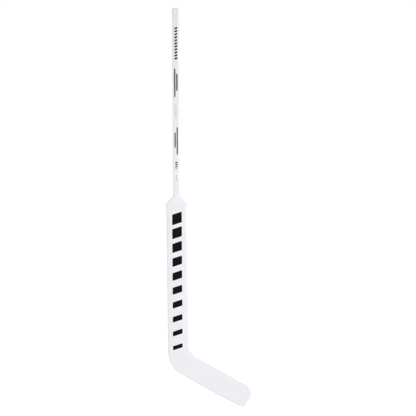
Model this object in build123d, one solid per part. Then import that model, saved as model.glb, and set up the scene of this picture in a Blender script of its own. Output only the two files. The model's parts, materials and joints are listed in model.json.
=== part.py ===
from build123d import *
import math
import os

# A foam-cored goalie stick, upright: +Z up the shaft to the butt end, +X towards
# the toe, and the side that faces the shooter towards -Y. The origin is the middle
# of the shaft where the paddle's shoulder begins, just under the blocker hand.
# All sizes are in millimetres and degrees.

# Shaft
shaft_length = 771
shaft_width = 27
shaft_thickness = 20
butt_corner_radius = 5

# Paddle, seen from the front. Widths are across the paddle, and heights are
# measured down from the origin.
shoulder_width = 88
shoulder_drop = 33
flare_radius = 8
shoulder_radius = 5
waist_width = 82
waist_drop = 80
waist_radius = 400
paddle_length = 700
paddle_heel_width = 87
paddle_heel_shift = 4.4

# Blade, seen from the front. Lengths run along the sole from the heel's corner, and
# the rocker is how far the sole's middle corner stands out before it is rounded.
sole_angle = 29.2
blade_length = 356
blade_width = 89
sole_rocker = 5.5
sole_flat = 10
heel_radius = 102
throat_radius = 74
toe_top_radius = 34
toe_bottom_radius = 21

# Thickness and curve. The taper's foot is its height above the throat's corner.
heel_thickness = 13
toe_thickness = 9
taper_foot = 57
taper_rise = 190
taper_blend_radius = 3000
curve_start = 115
curve_depth = 13
edge_radius = 4

# Laminate and tube. The tube's foot is its height above the throat's corner too.
skin_thickness = 1.2
tube_wall = 1.8
tube_foot = 27
wrap_skirt = 8
bore_radius = 1

# Edge rails, blocks and cores
rail_width = 6
shoulder_block_drop = 52
heel_block_reach = 128
toe_insert_length = 34

# Blade rib
rib_thickness = 3
rib_tongue = 38
rib_toe_tongue = 9

# Heel patches
patch_radius = 32
patch_thickness = 0.8

# Spigot, butt plug and the foam in the spine
spigot_length = 60
spigot_chamfer = 0.7
plug_head = 18
plug_tenon = 42
plug_ribs = 4
plug_rib_height = 3
plug_rib_depth = 0.6
joint_clearance = 0.1

# How far a cutting body reaches past what it cuts, and how near counts as touching
past = 60
near = 0.001


def unit(angle):
    return Vector(math.cos(math.radians(angle)), math.sin(math.radians(angle)))


def meeting_point(a, along_a, b, along_b):
    """Where the line through a meets the line through b."""
    gap = b - a
    turn = along_a.X * along_b.Y - along_a.Y * along_b.X
    return a + along_a * ((gap.X * along_b.Y - gap.Y * along_b.X) / turn)


def half_turn(before, corner, after):
    """The tangent of half the angle that an outline turns through at a corner."""
    return math.tan(math.radians((corner - before).get_angle(after - corner) / 2))


# Corners of the outline before they are rounded, as X and Z from the front
along = unit(-sole_angle)
across = unit(90 - sole_angle)
heel = Vector(paddle_heel_shift - paddle_heel_width / 2, -paddle_length)
toe_bottom = heel + along * blade_length
toe_top = toe_bottom + across * blade_width
throat_side = heel + Vector(paddle_heel_width, 0)
waist_right = Vector(waist_width / 2, -waist_drop)
waist_left = Vector(-waist_width / 2, -waist_drop)
throat = meeting_point(waist_right, throat_side - waist_right, toe_top, along)
sole_middle = (heel + toe_bottom) / 2 - across * sole_rocker

# The sole's rocker is one arc that ends just short of the roundings at heel and toe
heel_rounding = heel_radius * half_turn(waist_left, heel, sole_middle)
toe_rounding = toe_bottom_radius * half_turn(sole_middle, toe_bottom, toe_top)
rocker_reach = (sole_middle - heel).length - max(heel_rounding, toe_rounding) - sole_flat
sole_rocker_radius = rocker_reach / half_turn(heel, sole_middle, toe_bottom)

# Directions in space, and the planes that the blade is cut by
up = Vector(0, 0, 1)
right = Vector(1, 0, 0)
front = Vector(0, -1, 0)
heel_point = Vector(heel.X, 0, heel.Y)
blade_along = Vector(along.X, 0, along.Y)
blade_across = Vector(across.X, 0, across.Y)
blade_plane = Plane(origin=heel_point, x_dir=blade_along, z_dir=blade_across)
mitre_up = Vector(heel.Y - throat.Y, 0, throat.X - heel.X)

# Levels and widths shared by several pieces
taper_bottom = throat.Y + taper_foot
taper_top = taper_bottom + taper_rise
tube_bottom = throat.Y + tube_foot
tube_top = shaft_length - plug_head
spigot_top = tube_bottom + spigot_length
toe_insert_start = blade_length - toe_insert_length
tube_width = shaft_width - 2 * skin_thickness
bore_width = tube_width - 2 * tube_wall
bore_inset = skin_thickness + tube_wall
core_inset = skin_thickness + rail_width


def outline(inset):
    """The stick from the front, drawn in by inset all round."""
    half = shaft_width / 2
    corners = [
        (Vector(-half, shaft_length), butt_corner_radius),
        (Vector(half, shaft_length), butt_corner_radius),
        (Vector(half, 0), flare_radius),
        (Vector(shoulder_width / 2, -shoulder_drop), shoulder_radius),
        (waist_right, waist_radius),
        (throat, throat_radius),
        (toe_top, toe_top_radius),
        (toe_bottom, toe_bottom_radius),
        (sole_middle, sole_rocker_radius),
        (heel, heel_radius),
        (waist_left, waist_radius),
        (Vector(-shoulder_width / 2, -shoulder_drop), shoulder_radius),
        (Vector(-half, 0), flare_radius),
    ]
    points = [point for point, radius in corners]
    radii = [radius for point, radius in corners]
    shape = make_face(FilletPolyline(*points, radius=radii, close=True))
    if inset:
        shape = offset(shape, amount=-inset)
    return Plane.XZ * shape


def bend(start_y, end_y):
    """One face of the blade from above: straight, then one long arc to the toe."""
    run = blade_length - curve_start
    fall = start_y - end_y
    radius = (run**2 + fall**2) / (2 * fall)
    sweep = math.degrees(math.asin((run + past) / radius))
    straight = Line((-past, start_y), (curve_start, start_y))
    return straight, JernArc((curve_start, start_y), (1, 0), radius, -sweep)


def side_slab(inset):
    """The thickness of shaft and paddle, with the taper towards the heel."""
    shaft_half = shaft_thickness / 2
    heel_half = heel_thickness / 2
    top = shaft_length + past
    bottom = -paddle_length - past
    corners = [
        (-shaft_half, top, 0),
        (-shaft_half, taper_top, taper_blend_radius),
        (-heel_half, taper_bottom, taper_blend_radius),
        (-heel_half, bottom, 0),
        (heel_half, bottom, 0),
        (heel_half, taper_bottom, taper_blend_radius),
        (shaft_half, taper_top, taper_blend_radius),
        (shaft_half, top, 0),
    ]
    points = [(y, z) for y, z, radius in corners]
    radii = [radius for y, z, radius in corners]
    shape = make_face(FilletPolyline(*points, radius=radii, close=True))
    if inset:
        shape = offset(shape, amount=-inset, kind=Kind.INTERSECTION)
    return extrude(Plane.YZ * shape, amount=blade_length, both=True)


def blade_slab(inset):
    """The thickness and curve of the blade."""
    heel_half = heel_thickness / 2
    toe_half = toe_thickness / 2
    near_line, near_arc = bend(-heel_half, -curve_depth - toe_half)
    far_line, far_arc = bend(heel_half, toe_half - curve_depth)
    ends = (Line(near_line @ 0, far_line @ 0), Line(near_arc @ 1, far_arc @ 1))
    shape = make_face([near_line, near_arc, far_line, far_arc, *ends])
    if inset:
        shape = offset(shape, amount=-inset, kind=Kind.INTERSECTION)
    return extrude(blade_plane * shape, amount=blade_length, both=True)


def side_of(body, point, direction):
    """What a body has on the side of a plane that the direction points to."""
    return split(body, bisect_by=Plane(origin=point, z_dir=direction), keep=Keep.TOP)


def above(body, level):
    return side_of(body, up * level, up)


def below(body, level):
    return side_of(body, up * level, -up)


def toward_toe(body, distance):
    return side_of(body, heel_point + blade_along * distance, blade_along)


def toward_heel(body, distance):
    return side_of(body, heel_point + blade_along * distance, -blade_along)


def over_line(body, distance):
    return side_of(body, heel_point + blade_across * distance, blade_across)


def under_line(body, distance):
    return side_of(body, heel_point + blade_across * distance, -blade_across)


def paddle_side(body):
    """The part above the mitre that runs through the heel from corner to throat."""
    return side_of(body, heel_point, mitre_up)


def blade_side(body):
    return side_of(body, heel_point, -mitre_up)


def prism(shape):
    return extrude(shape, amount=past, both=True)


def rounded(body, is_edge, radius):
    """The body with every edge that is_edge accepts rounded off."""
    return fillet(body.edges().filter_by(is_edge), radius)


def envelope(inset):
    """The whole stick as one rounded solid, drawn in by inset on every face."""
    shape = outline(inset)
    rim = shape.face().outer_wire()
    slab = paddle_side(side_slab(inset)) + blade_side(blade_slab(inset))

    def on_rim(edge):
        middle = edge @ 0.5
        run = (edge @ 1) - (edge @ 0)
        along_wall = math.hypot(run.X, run.Z) > near
        return along_wall and rim.distance_to(Vertex(middle.X, 0, middle.Z)) < near

    return rounded(prism(shape) & slab, on_rim, edge_radius - inset)


def bar(width, inset, radius, bottom, top):
    """A length of rounded flat bar on the shaft's line, as thick as the slab there."""
    shape = Plane.XZ * Pos(0, (bottom + top) / 2) * Rectangle(width, top - bottom)

    def is_long(edge):
        run = (edge @ 1) - (edge @ 0)
        return abs(run.Z) > near and abs(abs((edge @ 0.5).X) - width / 2) < near

    return rounded(prism(shape) & side_slab(inset), is_long, radius)


def blade_strip(start, end, low, high):
    """A box through the blade, given by distances along and across it."""
    corners = [(start, low), (end, low), (end, high), (start, high)]
    points = [heel + along * u + across * v for u, v in corners]
    return prism(Plane.XZ * make_face(Polyline(*points, close=True)))


def blade_front_space():
    """Everything in front of the blade's curved middle surface."""
    line, arc = bend(0, -curve_depth)
    far = shaft_thickness + past
    start = line @ 0
    end = arc @ 1
    sides = Polyline(start, (start.X, -far), (end.X, -far), end)
    shape = make_face([line, arc, *sides.edges()])
    return extrude(blade_plane * shape, amount=blade_length, both=True)


def tube_solid(bottom, top):
    return bar(tube_width, skin_thickness, edge_radius - skin_thickness, bottom, top)


def shaft_tube():
    """The moulded spine, from the butt plug down to the heel block."""
    bore = bar(bore_width, bore_inset, bore_radius, tube_bottom - past, tube_top + past / 2)
    return tube_solid(tube_bottom, tube_top) - bore


def shaft_wrap(exterior):
    """The outer laminate of the shaft, with the first of the flare in its skirt."""
    length = below(above(exterior, -wrap_skirt), tube_top)
    return length - tube_solid(-wrap_skirt - past, tube_top + past / 2)


def butt_plug(exterior):
    """The end cap: a head flush with the shaft and a ribbed tenon in the tube."""
    root = tube_top - plug_tenon
    slim = joint_clearance + plug_rib_depth
    plug = above(exterior, tube_top)
    plug += bar(bore_width - 2 * slim, bore_inset + slim, bore_radius, root, tube_top)
    pitch = plug_tenon / plug_ribs
    for count in range(plug_ribs):
        low = root + pitch * count
        plug += bar(
            bore_width - 2 * joint_clearance,
            bore_inset + joint_clearance,
            bore_radius,
            low,
            low + plug_rib_height,
        )
    return plug


def spine_foam():
    """Damping foam in the tube, between the heel block's spigot and the shoulder."""
    return bar(bore_width, bore_inset, bore_radius, spigot_top, -wrap_skirt)


def shoulder_block(interior, trim):
    """The shaped filler between the tube and one flank of the flare."""
    return trim(below(above(interior, -shoulder_block_drop), -wrap_skirt))


def paddle_core(inner, trim):
    """The foam on one side of the tube."""
    return trim(above(below(inner, -shoulder_block_drop), tube_bottom))


def edge_rail(band, trim):
    """The rail inside one long edge of the paddle."""
    return trim(paddle_side(below(band, -shoulder_block_drop)))


def heel_patch(inner, face_y, inward):
    """One reinforcing patch, let into a face of the heel block, round up to the rails."""
    middle = (heel + throat) / 2
    plane = Plane(origin=(middle.X, face_y, middle.Y), z_dir=(0, inward, 0))
    return extrude(plane * Circle(patch_radius), amount=patch_thickness) & inner


def spigot():
    """The heel block's bar that stands in the tube's lower end."""
    width = bore_width - 2 * joint_clearance
    depth = heel_thickness - 2 * (bore_inset + joint_clearance)
    height = spigot_length + heel_thickness
    middle = spigot_top - height / 2
    body = Pos(0, 0, middle) * Box(width, depth, height)
    body = fillet(body.edges().filter_by(Axis.Z), bore_radius)
    return chamfer(body.faces().sort_by(Axis.Z)[-1].edges(), spigot_chamfer)


def rib_slot(start, end):
    """The cut that the rib's tongue stands in."""
    half = rib_thickness / 2 + joint_clearance
    middle = blade_width / 2
    return blade_strip(start, end, middle - half, middle + half)


def heel_block(inner, patches):
    """The block that joins tube, rails and blade, with a slot for the rib."""
    block = toward_heel(below(inner, tube_bottom), heel_block_reach) + spigot()
    tongue_end = heel_block_reach - rib_tongue - joint_clearance
    block -= rib_slot(tongue_end, heel_block_reach + past)
    for patch in patches:
        block -= patch
    return block


def blade_rib(interior):
    """The web along the middle of the blade, from skin to skin."""
    middle = blade_width / 2
    half = rib_thickness / 2
    start = heel_block_reach - rib_tongue
    end = toe_insert_start + rib_toe_tongue
    return interior & blade_strip(start, end, middle - half, middle + half)


def toe_insert(interior):
    """The solid toe, with a slot for the rib's far end."""
    tongue_end = toe_insert_start + rib_toe_tongue + joint_clearance
    slot = rib_slot(toe_insert_start - past, tongue_end)
    return toward_toe(interior, toe_insert_start) - slot


def stick_pieces():
    """Every piece of the stick by name."""
    exterior = envelope(0)
    interior = envelope(skin_thickness)
    core_space = prism(outline(core_inset))
    inner = interior & core_space
    band = interior - core_space
    shell = exterior - interior

    paddle_shell = paddle_side(below(shell, -wrap_skirt))
    blade_shell = blade_side(shell)
    front_space = blade_front_space()
    blade_band = toward_heel(blade_side(band), toe_insert_start)
    blade_foam = toward_toe(toward_heel(inner, toe_insert_start), heel_block_reach)

    def left_of_tube(body):
        return side_of(body, right * (-tube_width / 2), -right)

    def right_of_tube(body):
        return side_of(body, right * (tube_width / 2), right)

    half_rib = rib_thickness / 2
    blade_middle = blade_width / 2
    patch_face = heel_thickness / 2 - skin_thickness
    patch_front = heel_patch(inner, -patch_face, 1)
    patch_back = heel_patch(inner, patch_face, -1)

    return {
        "butt_plug": butt_plug(exterior),
        "shaft_wrap": shaft_wrap(exterior),
        "shaft_tube": shaft_tube(),
        "spine_foam": spine_foam(),
        "shoulder_block_left": shoulder_block(interior, left_of_tube),
        "shoulder_block_right": shoulder_block(interior, right_of_tube),
        "paddle_core_left": paddle_core(inner, left_of_tube),
        "paddle_core_right": paddle_core(inner, right_of_tube),
        "edge_rail_left": edge_rail(band, left_of_tube),
        "edge_rail_right": edge_rail(band, right_of_tube),
        "paddle_skin_front": side_of(paddle_shell, Vector(), front),
        "paddle_skin_back": side_of(paddle_shell, Vector(), -front),
        "heel_block": heel_block(inner, [patch_front, patch_back]),
        "heel_patch_front": patch_front,
        "heel_patch_back": patch_back,
        "blade_rib": blade_rib(interior),
        "blade_core_upper": over_line(blade_foam, blade_middle + half_rib),
        "blade_core_lower": under_line(blade_foam, blade_middle - half_rib),
        "blade_top_strip": over_line(blade_band, blade_middle),
        "sole_strip": under_line(blade_band, blade_middle),
        "toe_insert": toe_insert(interior),
        "blade_skin_front": blade_shell & front_space,
        "blade_skin_back": blade_shell - front_space,
    }


os.makedirs("parts", exist_ok=True)
for name, piece in stick_pieces().items():
    piece.label = name
    export_step(piece, f"parts/{name}.step")
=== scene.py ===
# A hockey goalie stick as it looks: one painted shell over the laminates, prints on the shell,
# and the inner pieces in materials of their own.
import json
import math

import bmesh
import bpy
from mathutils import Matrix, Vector

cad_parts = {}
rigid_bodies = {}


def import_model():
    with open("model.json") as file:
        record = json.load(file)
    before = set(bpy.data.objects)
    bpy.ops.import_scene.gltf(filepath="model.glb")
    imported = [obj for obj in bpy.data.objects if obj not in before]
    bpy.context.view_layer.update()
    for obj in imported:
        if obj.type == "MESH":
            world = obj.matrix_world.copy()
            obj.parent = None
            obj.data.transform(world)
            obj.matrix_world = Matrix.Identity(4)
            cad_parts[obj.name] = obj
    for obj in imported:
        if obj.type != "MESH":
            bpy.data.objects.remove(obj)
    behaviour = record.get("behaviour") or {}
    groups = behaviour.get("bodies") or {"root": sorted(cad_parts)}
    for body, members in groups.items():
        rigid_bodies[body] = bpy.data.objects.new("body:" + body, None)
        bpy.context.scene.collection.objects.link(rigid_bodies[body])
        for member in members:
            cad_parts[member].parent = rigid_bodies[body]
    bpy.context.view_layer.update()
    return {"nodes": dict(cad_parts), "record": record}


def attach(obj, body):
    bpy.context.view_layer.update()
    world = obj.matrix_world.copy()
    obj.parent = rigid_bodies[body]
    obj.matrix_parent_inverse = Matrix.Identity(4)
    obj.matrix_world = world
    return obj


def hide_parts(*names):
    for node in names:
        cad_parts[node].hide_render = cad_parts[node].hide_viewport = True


for left_over in list(bpy.data.objects):
    bpy.data.objects.remove(left_over)

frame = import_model()

# The frame, the camera, the lamps and the floor are in metres. The stick's own sizes are in
# millimetres, and MM turns them into metres.
MM = 0.001

# Outline from the front, the same as that of the solids: x to the toe and z up
SHAFT_HALF = 13.5
BUTT_END = 771
PLUG_HEAD = 18
PLUG_JOINT = BUTT_END - PLUG_HEAD
FLARE_RADIUS = 8
SHOULDER_HALF = 44
SHOULDER_LEVEL = -33
SHOULDER_RADIUS = 5
WAIST_HALF = 41
WAIST_LEVEL = -80
WAIST_RADIUS = 400
PADDLE_LENGTH = 700
PADDLE_HEEL_WIDTH = 87
PADDLE_HEEL_SHIFT = 4.4
HEEL_RADIUS = 102
BLADE_LENGTH = 356
BLADE_WIDTH = 89
SOLE_ANGLE = math.radians(29.2)
SOLE_ROCKER = 5.5
SOLE_FLAT = 10
THROAT_RADIUS = 74
TOE_TOP_RADIUS = 34
TOE_BOTTOM_RADIUS = 21

# Half thicknesses, and the taper from the shaft's to the heel's: its foot's height above the
# throat's corner, its rise, and half the length of each of its two bends
SHAFT_DEPTH = 10
HEEL_DEPTH = 6.5
TOE_DEPTH = 4.5
TAPER_FOOT = 57
TAPER_RISE = 190
TAPER_BLEND = 27.6

# The blade's curve, the rounded edge and the laminate
CURVE_START = 115
CURVE_DEPTH = 13
EDGE_RADIUS = 4
SKIN = 1.2

# The slight crown of the painted faces: on the paddle it ends between two heights, and on the
# blade it starts between two distances from the heel's corner
CROWN_RADIUS = 900
CROWN_END = (-690, -560)
CROWN_SHIFT = PADDLE_HEEL_SHIFT / (PADDLE_LENGTH + WAIST_LEVEL)
BLADE_CROWN_RADIUS = 1240
BLADE_CROWN_START = (50, 120)

# How far the paint lies inside the solids: under their faces, so that the prints on it stay
# inside too, and all round
PRINT_ROOM = 0.15
PAINT_INSET = 0.01

# The lip that the shell has at the plug's joint, and rungs close below it, in lips
LIP = 0.25
LIP_RUNGS = (1.2, 3.0)

# How finely the surface is divided: faces across it, and steps along straights and roundings.
# The fine steps are for lines that places are looked up on.
ACROSS = 16
LONG_STEP = 9
ARC_STEP = math.radians(7)
THROAT_STEP = math.radians(2)
FINE_ARC_STEP = ARC_STEP / 8
FINE_STEP = 0.4
SAME_PLACE = 0.001

# Steps round the edge, and how far in from them one more line keeps the face flat
EDGE_STEPS = 6
SUPPORT = 0.7

# The toe's patch: its rows, and how far along the blade it starts
TOE_BLOCK = 12
TOE_BLOCK_START = 318


def unit(angle):
    """The direction that an angle points in."""
    return Vector((math.cos(angle), math.sin(angle)))


def smoothstep(low, high, value):
    """0 below low, 1 above high, and a soft rise between them."""
    t = min(1.0, max(0.0, (value - low) / (high - low)))
    return t * t * (3 - 2 * t)


def meeting_point(a, along_a, b, along_b):
    """Where the line through a meets the line through b."""
    gap = b - a
    turn = along_a.x * along_b.y - along_a.y * along_b.x
    return a + along_a * ((gap.x * along_b.y - gap.y * along_b.x) / turn)


def half_turn(before, corner, after):
    """The tangent of half the angle that the outline turns through at a corner."""
    return math.tan((corner - before).angle(after - corner) / 2)


# Corners of the outline before they are rounded
ALONG = unit(-SOLE_ANGLE)
OVER = unit(math.pi / 2 - SOLE_ANGLE)
HEEL = Vector((PADDLE_HEEL_SHIFT - PADDLE_HEEL_WIDTH / 2, -PADDLE_LENGTH))
THROAT_SIDE = HEEL + Vector((PADDLE_HEEL_WIDTH, 0))
TOE_BOTTOM = HEEL + ALONG * BLADE_LENGTH
TOE_TOP = TOE_BOTTOM + OVER * BLADE_WIDTH
WAIST_RIGHT = Vector((WAIST_HALF, WAIST_LEVEL))
WAIST_LEFT = Vector((-WAIST_HALF, WAIST_LEVEL))
THROAT = meeting_point(WAIST_RIGHT, THROAT_SIDE - WAIST_RIGHT, TOE_TOP, ALONG)
SOLE_MIDDLE = (HEEL + TOE_BOTTOM) / 2 - OVER * SOLE_ROCKER

# The rocker's radius leaves a flat between it and the longer of the sole's end roundings
HEEL_ROUNDING = HEEL_RADIUS * half_turn(WAIST_LEFT, HEEL, SOLE_MIDDLE)
TOE_ROUNDING = TOE_BOTTOM_RADIUS * half_turn(SOLE_MIDDLE, TOE_BOTTOM, TOE_TOP)
ROCKER_REACH = (SOLE_MIDDLE - HEEL).length - max(HEEL_ROUNDING, TOE_ROUNDING) - SOLE_FLAT
ROCKER_RADIUS = ROCKER_REACH / half_turn(HEEL, SOLE_MIDDLE, TOE_BOTTOM)

# Heights of the taper, and how far each face of the blade falls back by the toe
TAPER_BOTTOM = THROAT.y + TAPER_FOOT
TAPER_TOP = TAPER_BOTTOM + TAPER_RISE
TAPER_SLOPE = (SHAFT_DEPTH - HEEL_DEPTH) / TAPER_RISE
FRONT_FALL = CURVE_DEPTH + TOE_DEPTH - HEEL_DEPTH
BACK_FALL = CURVE_DEPTH - TOE_DEPTH + HEEL_DEPTH


def rounded_run(corners, step):
    """Places along a line of rounded corners, each with its inward normal. A corner is its point
    and its radius, and the first and last are plain ends. Step is the most that a rounding turns
    from one place to the next, and a corner may have its own as a third value."""
    made = []

    def straight(start, end):
        run = end - start
        count = max(1, math.ceil(run.length / LONG_STEP))
        normal = Vector((run.y, -run.x)).normalized()
        for i in range(count + 1):
            made.append((start + run * i / count, normal))

    last = corners[0][0]
    for (before, *_), (corner, radius, *own_step), (after, *_) in zip(corners, corners[1:], corners[2:]):
        a = (corner - before).normalized()
        b = (after - corner).normalized()
        side = 1 if a.x * b.y - a.y * b.x > 0 else -1
        angle = a.angle(b)
        reach = radius * math.tan(angle / 2)
        start = corner - a * reach
        straight(last, start)
        centre = start + Vector((-a.y, a.x)) * radius * side
        arm = start - centre
        count = max(2, math.ceil(angle / (own_step[0] if own_step else step)))
        for i in range(1, count):
            t = side * angle * i / count
            cos, sin = math.cos(t), math.sin(t)
            spoke = Vector((arm.x * cos - arm.y * sin, arm.x * sin + arm.y * cos))
            made.append((centre + spoke, spoke.normalized() * side))
        last = corner + b * reach
    straight(last, corners[-1][0])
    kept = [made[0]]
    for point, normal in made[1:]:
        if (point - kept[-1][0]).length > SAME_PLACE:
            kept.append((point, normal))
    return kept


def refined(run):
    """The same run with places close together, for looking up places on it."""
    fine = []
    for (p, n), (q, m) in zip(run, run[1:]):
        count = max(1, math.ceil((q - p).length / FINE_STEP))
        for i in range(count):
            t = i / count
            fine.append((p.lerp(q, t), n.lerp(m, t).normalized()))
    return fine + [run[-1]]


def crossing(run, origin, direction):
    """Where the ray from origin meets the run, and the run's normal there."""
    aside = Vector((-direction.y, direction.x))
    for (p, n), (q, m) in zip(run, run[1:]):
        before = (p - origin).dot(aside)
        after = (q - origin).dot(aside)
        if (before <= 0) != (after <= 0):
            t = before / (before - after)
            hit = p.lerp(q, t)
            if (hit - origin).dot(direction) > 0:
                return hit, n.lerp(m, t).normalized()
    raise ValueError("the ray misses the outline")


def spread(run, count):
    """count + 1 places evenly along a run."""
    lengths = [0]
    for (p, _), (q, _) in zip(run, run[1:]):
        lengths.append(lengths[-1] + (q - p).length)
    made = []
    k = 0
    for i in range(count + 1):
        want = lengths[-1] * i / count
        while k < len(run) - 2 and lengths[k + 1] < want:
            k += 1
        t = (want - lengths[k]) / (lengths[k + 1] - lengths[k])
        (p, n), (q, m) = run[k], run[k + 1]
        made.append((p.lerp(q, t), n.lerp(m, t).normalized()))
    return made


def right_samples():
    """The places down the right side, from the plug's joint to the toe block."""
    return rounded_run(
        [
            (Vector((SHAFT_HALF, PLUG_JOINT)), 0),
            (Vector((SHAFT_HALF, 0)), FLARE_RADIUS),
            (Vector((SHOULDER_HALF, SHOULDER_LEVEL)), SHOULDER_RADIUS),
            (WAIST_RIGHT, WAIST_RADIUS),
            (THROAT, THROAT_RADIUS, THROAT_STEP),
            (HEEL + ALONG * TOE_BLOCK_START + OVER * BLADE_WIDTH, 0),
        ],
        ARC_STEP,
    )


def left_samples(right):
    """The place on the left side across from each place of the right side: level with it down
    to the throat, fanned out round the throat's hub, and square to the blade after that."""
    line = refined(rounded_run(
        [
            (TOE_TOP, 0),
            (TOE_BOTTOM, TOE_BOTTOM_RADIUS),
            (SOLE_MIDDLE, ROCKER_RADIUS),
            (HEEL, HEEL_RADIUS),
            (WAIST_LEFT, WAIST_RADIUS),
            (Vector((-SHOULDER_HALF, SHOULDER_LEVEL)), SHOULDER_RADIUS),
            (Vector((-SHAFT_HALF, 0)), FLARE_RADIUS),
            (Vector((-SHAFT_HALF, BUTT_END)), 0),
        ],
        FINE_ARC_STEP,
    ))
    down = (THROAT - WAIST_RIGHT).normalized()
    reach = THROAT_RADIUS * half_turn(WAIST_RIGHT, THROAT, TOE_TOP)
    arc_top = THROAT - down * reach
    hub = arc_top + Vector((-down.y, down.x)) * THROAT_RADIUS
    left = []
    for point, _ in right:
        if point.y > arc_top.y:
            direction = Vector((-1, 0))
        elif (point - THROAT).dot(ALONG) > reach - SAME_PLACE:
            direction = -OVER
        else:
            direction = (point - hub).normalized()
        left.append(crossing(line, point + direction * SAME_PLACE, direction))
    return left


def toe_samples():
    """The places round the toe from the top edge to the sole, and which of them are nearest to
    the toe's upper and lower corner."""
    line = refined(rounded_run(
        [
            (THROAT, 0),
            (TOE_TOP, TOE_TOP_RADIUS),
            (TOE_BOTTOM, TOE_BOTTOM_RADIUS),
            (SOLE_MIDDLE, ROCKER_RADIUS),
            (HEEL, 0),
        ],
        FINE_ARC_STEP,
    ))
    beyond = TOE_BLOCK_START + FINE_STEP / 2
    line = [(point, normal) for point, normal in line if (point - HEEL).dot(ALONG) > beyond]
    nearest = [
        min(range(len(line)), key=lambda i: (line[i][0] - corner).length) for corner in (TOE_TOP, TOE_BOTTOM)
    ]
    return line, *nearest


def outline_samples():
    """The places down the right side, down the left side and along the toe between them,
    and how many of the rungs are straight."""
    right = right_samples()
    left = left_samples(right)
    toe_line, upper, lower = toe_samples()
    for line in (right, left):
        point, normal = line[0]
        line[1:1] = [(point - Vector((0, share * LIP)), normal) for share in LIP_RUNGS]
    right_end = spread([right[-1]] + toe_line[:upper + 1], TOE_BLOCK)
    left_end = spread([left[-1]] + toe_line[lower:][::-1], TOE_BLOCK)
    toe = spread(toe_line[upper:lower + 1][::-1], ACROSS)
    return right + right_end[1:], left + left_end[1:], toe, len(right)


def ramp(u, width):
    """A line that starts at 0 with a soft bend."""
    if u < -width:
        return 0.0
    return u if u > width else (u + width) ** 2 / (4 * width)


def bow(s, fall):
    """How far the blade has curved away at a distance from the heel's corner."""
    run = BLADE_LENGTH - CURVE_START
    radius = (run * run + fall * fall) / (2 * fall)
    past = max(0.0, s - CURVE_START)
    return radius - math.sqrt(radius * radius - past * past)


def faces_at(point, inset=0.0, crowned=True):
    """The depth of the front and back face of the paint at a place of the outline's plane, or
    of a surface that lies further in by the inset."""
    x, z = point
    s, v = (point - HEEL).dot(ALONG), (point - HEEL).dot(OVER)
    thinned = ramp(TAPER_TOP - z, TAPER_BLEND) - ramp(TAPER_BOTTOM - z, TAPER_BLEND)
    depth = SHAFT_DEPTH - TAPER_SLOPE * thinned
    depth -= PRINT_ROOM + inset
    hollow = 0.0
    if crowned:
        aside = x - CROWN_SHIFT * max(0.0, WAIST_LEVEL - z)
        depth -= smoothstep(*CROWN_END, z) * aside ** 2 / (2 * CROWN_RADIUS)
        aside = v - BLADE_WIDTH / 2
        hollow = smoothstep(*BLADE_CROWN_START, s) * aside ** 2 / (2 * BLADE_CROWN_RADIUS)
    return hollow - depth - bow(s, FRONT_FALL), depth - bow(s, BACK_FALL)


def coons(left, right, top, bottom, rows, columns):
    """A patch between four lines of places, without its edges."""
    made = {}
    for i in range(1, rows):
        v = i / rows
        for j in range(1, columns):
            u = j / columns
            made[i, j] = (
                left[i] * (1 - u) + right[i] * u + top[j] * (1 - v) + bottom[j] * v
                - top[0] * (1 - u) * (1 - v) - top[columns] * u * (1 - v)
                - bottom[0] * (1 - u) * v - bottom[columns] * u * v
            )
    return made


def edge_profile(inset):
    """The lines round the rounded edge, as how far each lies in from the outline and under the
    face. The last lies on the face, a little further in."""
    radius = EDGE_RADIUS - inset
    turns = [math.pi / 2 * k / EDGE_STEPS for k in range(EDGE_STEPS + 1)]
    rounding = [(radius * (1 - math.cos(t)), radius * (1 - math.sin(t))) for t in turns]
    return rounding + [(radius + SUPPORT, 0.0)]


def broad_face(bm, rim, flat, rows, rungs, vertex):
    """The face inside the last line of the rounded edge: straight rungs as far as the toe block,
    and a patch in it. Returns the vertices of its first rung, without the ends."""
    right = flat[:rows + 1]
    left = flat[::-1][:rows + 1]
    toe = [left[-1]] + flat[rows + 1:rows + ACROSS][::-1] + [right[-1]]
    grid = {}
    for i in range(rows + 1):
        grid[i, ACROSS] = rim[i]
        grid[i, 0] = rim[len(rim) - 1 - i]
    for j in range(1, ACROSS):
        grid[rows, j] = rim[rows + ACROSS - j]
    for i in range(rungs):
        for j in range(1, ACROSS):
            grid[i, j] = vertex(left[i].lerp(right[i], j / ACROSS), i)
    start = rungs - 1
    top = [left[start].lerp(right[start], j / ACROSS) for j in range(ACROSS + 1)]
    for (i, j), place in coons(left[start:], right[start:], top, toe, rows - start, ACROSS).items():
        grid[i + start, j] = vertex(place, i + start)
    for i in range(rows):
        for j in range(ACROSS):
            bm.faces.new((grid[i, j], grid[i + 1, j], grid[i + 1, j + 1], grid[i, j + 1]))
    return [grid[0, j] for j in range(1, ACROSS)]


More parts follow.
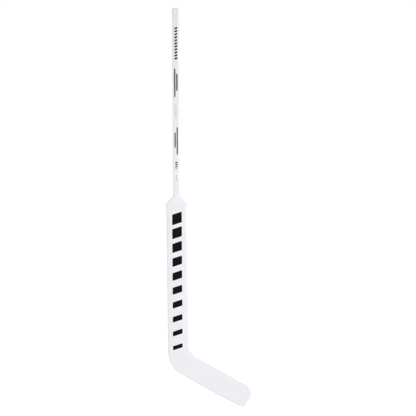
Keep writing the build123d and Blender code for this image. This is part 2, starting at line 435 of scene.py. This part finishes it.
def skin_surface(bm, inset, crowned, lip):
    """One closed surface of the stick from the plug's joint to the toe, open at the joint, where
    it is drawn in by the lip. Returns the ring of vertices at the joint, in order."""
    right, left, toe, rungs = outline_samples()
    loop = right + toe[1:-1][::-1] + left[::-1]
    count = len(loop)
    insets = [inset] * count
    insets[0] = insets[-1] = inset + lip
    profile = edge_profile(inset)

    def vertex(point, side, drop, own_inset):
        front, back = faces_at(point, own_inset, crowned)
        depth = front + drop if side == 0 else back - drop
        return bm.verts.new(Vector((point.x, depth, point.y)) * MM)

    rings = []
    for side in (0, 1):
        layers = []
        for d, drop in profile:
            places = [(point + normal * (d + own), own) for (point, normal), own in zip(loop, insets)]
            layers.append([vertex(place, side, drop, own) for place, own in places])
        rings.append(layers)
    middle = []
    for (point, normal), own in zip(loop, insets):
        place = point + normal * own
        middle.append(bm.verts.new(Vector((place.x, sum(faces_at(place, own, crowned)) / 2, place.y)) * MM))

    for i in range(count - 1):
        for layers in rings:
            bm.faces.new((middle[i], middle[i + 1], layers[0][i + 1], layers[0][i]))
            for low, high in zip(layers, layers[1:]):
                bm.faces.new((low[i], low[i + 1], high[i + 1], high[i]))

    flat = [point + normal * (profile[-1][0] + inset) for point, normal in loop]
    sections = []
    for side, layers in enumerate(rings):
        sections.append(broad_face(
            bm, layers[-1], flat, len(right) - 1, rungs,
            lambda place, row: vertex(place, side, 0.0, insets[row]),
        ))
    front_left = [layer[-1] for layer in rings[0]]
    front_right = [layer[0] for layer in rings[0]][::-1]
    back_right = [layer[0] for layer in rings[1]]
    back_left = [layer[-1] for layer in rings[1]][::-1]
    return (
        front_left + sections[0] + front_right + [middle[0]]
        + back_right + sections[1][::-1] + back_left + [middle[-1]]
    )


def piece(name, bm, material, smooth=True):
    """A mesh object of the stick, riding on its one body."""
    mesh = bpy.data.meshes.new(name)
    bmesh.ops.recalc_face_normals(bm, faces=bm.faces)
    bm.to_mesh(mesh)
    bm.free()
    mesh.polygons.foreach_set("use_smooth", [smooth] * len(mesh.polygons))
    mesh.materials.append(material)
    made = bpy.data.objects.new(name, mesh)
    bpy.context.scene.collection.objects.link(made)
    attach(made, "root")
    return made


def add(tree, kind, inputs=None, **settings):
    """A new node with its inputs set or linked."""
    node = tree.nodes.new("ShaderNode" + kind)
    for key, value in settings.items():
        setattr(node, key, value)
    for key, value in (inputs or {}).items():
        if isinstance(value, bpy.types.NodeSocket):
            tree.links.new(value, node.inputs[key])
        else:
            node.inputs[key].default_value = value
    return node


def math_of(tree, operation, a, b):
    """One operation on two numbers."""
    return add(tree, "Math", {0: a, 1: b}, operation=operation).outputs["Value"]


def finish_of(name, roughness, coat=0.0, coat_roughness=0.1):
    """A material with the plain numbers of its finish, its tree, shader and place on the stick."""
    material = bpy.data.materials.new(name)
    material.use_nodes = True
    tree = material.node_tree
    shader = tree.nodes["Principled BSDF"]
    shader.inputs["Roughness"].default_value = roughness
    shader.inputs["Coat Weight"].default_value = coat
    shader.inputs["Coat Roughness"].default_value = coat_roughness
    place = add(tree, "TexCoord").outputs["Object"]
    return material, tree, shader, place


def noise(tree, place, scale, detail=3.0, roughness=0.5):
    """Soft noise, with scale as its spots to a metre."""
    inputs = {"Vector": place, "Scale": scale, "Detail": detail, "Roughness": roughness}
    return add(tree, "TexNoise", inputs).outputs["Fac"]


def cells(tree, place, scale):
    """The distance from the middle of the nearest cell, with scale as the cells to a metre."""
    return add(tree, "TexVoronoi", {"Vector": place, "Scale": scale}).outputs["Distance"]


def ramp_color(tree, factor, *stops):
    """A colour ramp from (position, colour) stops."""
    node = add(tree, "ValToRGB", {"Fac": factor})
    band = node.color_ramp
    while len(band.elements) < len(stops):
        band.elements.new(0.5)
    for element, (position, color) in zip(band.elements, stops):
        element.position = position
        element.color = (*color, 1)
    return node.outputs["Color"]


def levels(tree, factor, low, high):
    """A factor from 0 to 1 turned into a number from low to high."""
    return add(tree, "MapRange", {"Value": factor, "To Min": low, "To Max": high}).outputs["Result"]


def bumped(tree, height, distance, normal=None):
    """The normal of a height from 0 to 1 that stands for a distance in millimetres."""
    inputs = {"Height": height, "Distance": distance * MM, "Strength": 1.0}
    if normal:
        inputs["Normal"] = normal
    return add(tree, "Bump", inputs).outputs["Normal"]


# The pitch in millimetres that a wave texture has at a scale of 1
WAVE_PITCH = 314


def weave(tree, place, pitch):
    """Crossed yarns at 45 degrees, seen from the front, as a height."""
    yarns = []
    for turn in (45, -45):
        turned = add(tree, "Mapping", {"Vector": place, "Rotation": (0, math.radians(turn), 0)})
        inputs = {
            "Vector": turned.outputs["Vector"],
            "Scale": WAVE_PITCH / pitch,
            "Distortion": 0.4,
            "Detail": 1.0,
        }
        yarns.append(add(tree, "TexWave", inputs).outputs["Fac"])
    return math_of(tree, "MAXIMUM", *yarns)


def painted(name, low, high, roughness=0.5, coat=0.5):
    """White lacquer over laminate: faint clouds, print-through of the cloth, orange peel."""
    material, tree, shader, place = finish_of(name, roughness, coat, coat_roughness=0.09)
    clouds = noise(tree, place, scale=9.0, detail=4.0)
    tree.links.new(ramp_color(tree, clouds, (0.3, low), (0.7, high)), shader.inputs["Base Color"])
    handled = levels(tree, noise(tree, place, scale=60.0), roughness - 0.05, roughness + 0.07)
    tree.links.new(handled, shader.inputs["Roughness"])
    cloth = bumped(tree, weave(tree, place, pitch=3.2), distance=0.012)
    peel = bumped(tree, noise(tree, place, scale=420.0, detail=1.0), distance=0.035, normal=cloth)
    tree.links.new(peel, shader.inputs["Normal"])
    flow = bumped(tree, noise(tree, place, scale=230.0, detail=0.5), distance=0.03)
    tree.links.new(flow, shader.inputs["Coat Normal"])
    return material


def printed(name, color, mottle):
    """Matt ink over the lacquer, uneven in how it covers: mottle is the share by which its
    colour falls where it lies thicker."""
    material, tree, shader, place = finish_of(name, roughness=0.5)
    shader.inputs["Specular IOR Level"].default_value = 0.04
    shade = tuple(channel * (1 - mottle) for channel in color)
    cover = noise(tree, place, scale=180.0, detail=4.0, roughness=0.6)
    tree.links.new(ramp_color(tree, cover, (0.35, shade), (0.65, color)), shader.inputs["Base Color"])
    tree.links.new(levels(tree, noise(tree, place, scale=70.0), 0.45, 0.58), shader.inputs["Roughness"])
    grain = bumped(tree, noise(tree, place, scale=420.0, detail=1.0), distance=0.03)
    tree.links.new(grain, shader.inputs["Normal"])
    return material


def moulded():
    """The butt cap's satin plastic, with a spark-eroded grain."""
    material, tree, shader, place = finish_of("moulded_cap", roughness=0.42)
    clouds = noise(tree, place, scale=40.0)
    color = ramp_color(tree, clouds, (0.3, (0.87, 0.873, 0.895)), (0.7, (0.9, 0.903, 0.925)))
    tree.links.new(color, shader.inputs["Base Color"])
    grain = cells(tree, place, scale=2600.0)
    tree.links.new(levels(tree, grain, 0.38, 0.5), shader.inputs["Roughness"])
    tree.links.new(bumped(tree, grain, distance=0.02), shader.inputs["Normal"])
    return material


def tube_cloth():
    """Dark woven laminate in resin, with painted shade between the yarns and a painted sheen on their
    crowns.
    """
    material, tree, shader, place = finish_of("tube_cloth", roughness=0.3, coat=0.5, coat_roughness=0.12)
    height = weave(tree, place, pitch=2.4)
    # The colour follows the yarns' height: painted shade in the gaps, painted sheen on the crowns
    color = ramp_color(tree, height, (0.2, (0.012, 0.012, 0.014)), (0.9, (0.07, 0.072, 0.078)))
    tree.links.new(color, shader.inputs["Base Color"])
    tree.links.new(levels(tree, height, 0.45, 0.25), shader.inputs["Roughness"])
    tree.links.new(bumped(tree, height, distance=0.08), shader.inputs["Normal"])
    return material


def wood(name, dark, light, squeeze):
    """Straight grain along the stick."""
    material, tree, shader, place = finish_of(name, roughness=0.6)
    stretched = add(tree, "Mapping", {"Vector": place, "Scale": (1.0, 1.0, squeeze)}).outputs["Vector"]
    inputs = {"Vector": stretched, "Scale": 55.0, "Distortion": 6.0, "Detail": 4.0, "Detail Scale": 1.5}
    rings = add(tree, "TexWave", inputs).outputs["Fac"]
    fibre = noise(tree, stretched, scale=900.0, detail=2.0)
    grain = math_of(tree, "MULTIPLY", rings, fibre)
    tree.links.new(ramp_color(tree, grain, (0.05, dark), (0.6, light)), shader.inputs["Base Color"])
    tree.links.new(levels(tree, fibre, 0.5, 0.72), shader.inputs["Roughness"])
    tree.links.new(bumped(tree, fibre, distance=0.05), shader.inputs["Normal"])
    return material


def foam_cells():
    """Rigid foam, with cut cells and a few larger voids, its colour darker in their hollows as painted
    shade.
    """
    material, tree, shader, place = finish_of("foam_cells", roughness=0.85)
    small = cells(tree, place, scale=900.0)
    large = cells(tree, place, scale=210.0)
    height = math_of(tree, "MULTIPLY", small, large)
    # Darker where the cells are deepest: painted shade in the hollows
    color = ramp_color(tree, height, (0.0, (0.6, 0.57, 0.46)), (0.35, (0.84, 0.81, 0.71)))
    tree.links.new(color, shader.inputs["Base Color"])
    tree.links.new(levels(tree, small, 0.75, 0.95), shader.inputs["Roughness"])
    tree.links.new(bumped(tree, height, distance=0.35), shader.inputs["Normal"])
    return material


# The painted body, a hollow laminate skin around the inner pieces
bm = bmesh.new()
outer = skin_surface(bm, PAINT_INSET, True, LIP)
inner = skin_surface(bm, SKIN, False, 0.0)
for i in range(len(outer)):
    j = (i + 1) % len(outer)
    bm.faces.new((outer[i], outer[j], inner[j], inner[i]))
white = painted("white_lacquer", low=(0.86, 0.863, 0.902), high=(0.882, 0.885, 0.922))
body = piece("painted_body", bm, white)
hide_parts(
    "shaft_wrap", "paddle_skin_front", "paddle_skin_back", "blade_skin_front", "blade_skin_back"
)

# The pieces that are kept as solids, by the slot that each takes its finish from
inner_finish = {
    "plug": moulded(),
    "tube_laminate": tube_cloth(),
    "rail": wood("rail_ash", dark=(0.42, 0.29, 0.15), light=(0.72, 0.58, 0.38), squeeze=0.06),
    "moulding": wood("block_ply", dark=(0.34, 0.23, 0.12), light=(0.62, 0.47, 0.29), squeeze=0.12),
    "foam": foam_cells(),
    "painted_laminate": white,
}
for row in frame["record"]["subparts"]:
    for slot in frame["nodes"][row["node"]].material_slots:
        slot.material = inner_finish[row["material_slot"]]

# Prints, each a thin slab that follows the face it lies on: its thickness, and how far the top
# of an edging and of an ink stands above the paint
PRINT_DEPTH = 0.35
EDGING_LIFT = 0.06
INK_LIFT = 0.12

# How far apart a print is divided in x and z, the turn from one place to the next round its
# corners, and how many metres from a cut still count as on it
PRINT_GRID = (3.0, 12.0)
PRINT_TURN = math.radians(15)
ON_THE_CUT = 1e-7


def bar(left, right, bottom, height, rise, margin=0.0, radius=2.2):
    """A bar across the stick whose right end stands higher by rise, with rounded corners, made
    larger all round by the margin."""
    slope = rise / (right - left)
    thick = margin * math.hypot(1, slope)
    corners = [
        Vector((left - margin, bottom - slope * margin - thick)),
        Vector((left - margin, bottom + height - slope * margin + thick)),
        Vector((right + margin, bottom + height + rise + slope * margin + thick)),
        Vector((right + margin, bottom + rise + slope * margin - thick)),
    ]
    start = (corners[-1] + corners[0]) / 2
    stops = [(start, 0)] + [(corner, radius + margin) for corner in corners] + [(start, 0)]
    return [point for point, _ in rounded_run(stops, PRINT_TURN)][:-1]


def bar_column(count, pitch, left, right, bottom, height, rise, radius):
    """Equal bars, each a pitch below the one before."""
    return [bar(left, right, bottom - pitch * k, height, rise, radius=radius) for k in range(count)]


def print_on(name, shapes, lift, material, side=0):
    """Shapes given from the front, or from behind for side 1, laid on that face."""
    slab = bmesh.new()
    for shape in shapes:
        slab.faces.new([slab.verts.new(Vector((x, 0, z)) * MM) for x, z in shape])
    for axis, direction in enumerate((Vector((1, 0, 0)), Vector((0, 0, 1)))):
        step = PRINT_GRID[axis]
        values = [point[axis] for shape in shapes for point in shape]
        for k in range(math.ceil(min(values) / step), math.floor(max(values) / step) + 1):
            bmesh.ops.bisect_plane(
                slab,
                geom=slab.verts[:] + slab.edges[:] + slab.faces[:],
                plane_co=direction * k * step * MM,
                plane_no=direction,
                dist=ON_THE_CUT,
            )
    top = slab.faces[:]
    under = bmesh.ops.duplicate(slab, geom=top)["vert_map"]
    top = set(top)
    rims = [edge for edge in slab.edges if len(edge.link_faces) == 1 and edge.link_faces[0] in top]
    for edge in rims:
        a, b = edge.verts
        slab.faces.new((a, b, under[b], under[a]))
    outward = -1 if side == 0 else 1
    for vert in {vert for face in top for vert in face.verts}:
        x, z = vert.co.x / MM, vert.co.z / MM
        place = Vector((x if side == 0 else -x, z))
        depth = faces_at(place)[side]
        vert.co = Vector((place.x, depth + outward * lift, z)) * MM
        under[vert].co = Vector((place.x, depth - outward * (PRINT_DEPTH - lift), z)) * MM
    return piece(name, slab, material, smooth=False)


INK_BLACK = printed("ink_black", (0.005, 0.005, 0.006), mottle=0.3)
INK_SLATE = printed("ink_slate", (0.052, 0.061, 0.078), mottle=0.12)
INK_DARK = printed("ink_dark_grey", (0.04, 0.043, 0.05), mottle=0.12)
INK_PALE = printed("ink_pale_grey", (0.48, 0.49, 0.52), mottle=0.05)
INK_LIME = printed("ink_lime", (0.52, 0.6, 0.12), mottle=0.08)
INK_WHITE = printed("ink_white", (0.96, 0.96, 0.96), mottle=0.02)

# The paddle's ladder of bars, each thinner than the one above it, with a pale edging. The top is
# that of the first bar's right end, and the thickness is the first bar's and the last's.
RUNGS = 10
RUNG_PITCH = 60
RUNG_TOP = -64
RUNG_SIDES = (-18.5, 21.0)
RUNG_RISE = 13
RUNG_THICK = (44, 17)
EDGING = 2.4


def ladder(margin):
    """The ladder's bars, made larger all round by the margin."""
    made = []
    for k in range(RUNGS):
        t = k / (RUNGS - 1)
        height = RUNG_THICK[0] * (1 - t) + RUNG_THICK[1] * t
        bottom = RUNG_TOP - RUNG_RISE - k * RUNG_PITCH - height
        made.append(bar(*RUNG_SIDES, bottom, height, RUNG_RISE, margin))
    return made


for side, word in enumerate(("front", "back")):
    print_on("paddle_edging_" + word, ladder(EDGING), EDGING_LIFT, INK_WHITE, side)
    print_on("paddle_bars_" + word, ladder(0), INK_LIFT, INK_BLACK, side)

# The shaft's prints. Its stripes are left, right, bottom and height.
STRIPES = (
    (-7.0, -1.5, 402, 116),
    (1.8, 7.3, 428, 70),
    (-6.7, -1.5, 194, 62),
    (2.0, 7.0, 166, 112),
)
STRIPE_RISE = 7
STRIPE_CORNER = 0.8
DASH = {"pitch": 9, "left": -2.0, "right": 1.5, "height": 6, "rise": 0.8, "radius": 0.4}
MARK = {"pitch": 8.5, "left": -4.0, "right": 5.5, "bottom": 133, "height": 5.0, "rise": 3, "radius": 0.6}
MARKS = 4

small_bars = bar_column(11, pitch=12.4, left=-4.5, right=7.0, bottom=682, height=7.4, rise=4, radius=0.6)
stripes = [bar(*stripe, STRIPE_RISE, radius=STRIPE_CORNER) for stripe in STRIPES]
dashes = bar_column(6, bottom=365, **DASH) + bar_column(3, bottom=79, **DASH)
marks = bar_column(MARKS, **MARK)
print_on("shaft_bars", small_bars, INK_LIFT, INK_BLACK)
print_on("shaft_stripes", stripes, INK_LIFT, INK_SLATE)
print_on("shaft_dashes", dashes, INK_LIFT, INK_PALE)
print_on("shaft_marks", marks[:-1], INK_LIFT, INK_DARK)
print_on("shaft_mark_lime", marks[-1:], INK_LIFT, INK_LIME)

# Camera: the photograph's square frame, level, from straight in front, with a slight roll
CAMERA_PLACE = (0.1288, -9.486, -0.0505)
CAMERA_ROLL = math.radians(0.37)
camera_data = bpy.data.cameras.new("camera")
camera_data.lens = 200
camera_data.sensor_width = 36
camera_data.clip_end = 100
camera = bpy.data.objects.new("camera", camera_data)
camera.location = CAMERA_PLACE
camera.rotation_euler = (math.pi / 2, CAMERA_ROLL, 0)
bpy.context.scene.collection.objects.link(camera)
bpy.context.scene.camera = camera


def backdrop_rays(tree):
    """1 for a ray that sees the backdrop as a picture would: from the camera, in gloss or
    through glass."""
    path = add(tree, "LightPath").outputs
    direct = math_of(tree, "MAXIMUM", path["Is Camera Ray"], path["Is Glossy Ray"])
    return math_of(tree, "MAXIMUM", direct, path["Is Transmission Ray"])


# Light: a white surround for the eye, and a dimmer one for the surfaces
SURROUND = 0.42
world = bpy.data.worlds.new("studio")
bpy.context.scene.world = world
world.use_nodes = True
tree = world.node_tree
background = tree.nodes["Background"]
background.inputs["Color"].default_value = (1, 1, 1, 1)
tree.links.new(levels(tree, backdrop_rays(tree), SURROUND, 1.0), background.inputs["Strength"])


def area_lamp(name, location, target, size, energy):
    """A round soft lamp, aimed at a target, that the camera doesn't see."""
    lamp = bpy.data.lights.new(name, "AREA")
    lamp.shape = "DISK"
    lamp.size = size
    lamp.energy = energy
    made = bpy.data.objects.new(name, lamp)
    made.location = location
    made.rotation_euler = (Vector(target) - Vector(location)).to_track_quat("-Z", "Y").to_euler()
    made.visible_camera = False
    bpy.context.scene.collection.objects.link(made)


# Lamps, in metres and watts
area_lamp("key", location=(1.6, -3.7, -0.1), target=(0, 0, -1.5), size=1.8, energy=66)
area_lamp("side", location=(4.0, -1.6, -0.1), target=(0, 0, -1.2), size=1.6, energy=25)
area_lamp("fill", location=(-3.6, -1.1, 0.1), target=(0, 0, -1.0), size=1.4, energy=11)
area_lamp("back", location=(-2.0, 3.0, 3.0), target=(0, 0, -0.4), size=2.2, energy=88)
area_lamp("back_low", location=(2.6, 3.4, 0.2), target=(0, 0, -0.4), size=2.0, energy=24)

# Floor: a pale disc well under the stick. A glow that only the eye sees makes it white, and is
# weaker near the stick, where the light of the lamps falls.
FLOOR_LEVEL = -0.97
FLOOR_RADIUS = 40
FLOOR_COLOR = (0.8, 0.8, 0.8, 1)
GLOW_REACH = (0.8, 3.0)
FLOOR_GLOW = (0.36, 0.72)
bm = bmesh.new()
bmesh.ops.create_circle(bm, cap_ends=True, segments=96, radius=FLOOR_RADIUS)
bmesh.ops.translate(bm, verts=bm.verts, vec=(0, 0, FLOOR_LEVEL))
mesh = bpy.data.meshes.new("floor")
bm.to_mesh(mesh)
bm.free()
floor = bpy.data.objects.new("floor", mesh)
bpy.context.scene.collection.objects.link(floor)
material, tree, shader, place = finish_of("pale_floor", roughness=0.9)
shader.inputs["Base Color"].default_value = FLOOR_COLOR
shader.inputs["Specular IOR Level"].default_value = 0.0
shader.inputs["Emission Color"].default_value = (1, 1, 1, 1)
reach = add(tree, "VectorMath", {0: place}, operation="LENGTH").outputs["Value"]
glow = add(
    tree,
    "MapRange",
    {
        "Value": reach,
        "From Min": GLOW_REACH[0],
        "From Max": GLOW_REACH[1],
        "To Min": FLOOR_GLOW[0],
        "To Max": FLOOR_GLOW[1],
    },
).outputs["Result"]
seen_glow = math_of(tree, "MULTIPLY", backdrop_rays(tree), glow)
tree.links.new(seen_glow, shader.inputs["Emission Strength"])
floor.data.materials.append(material)

bpy.context.scene.view_settings.view_transform = "Standard"
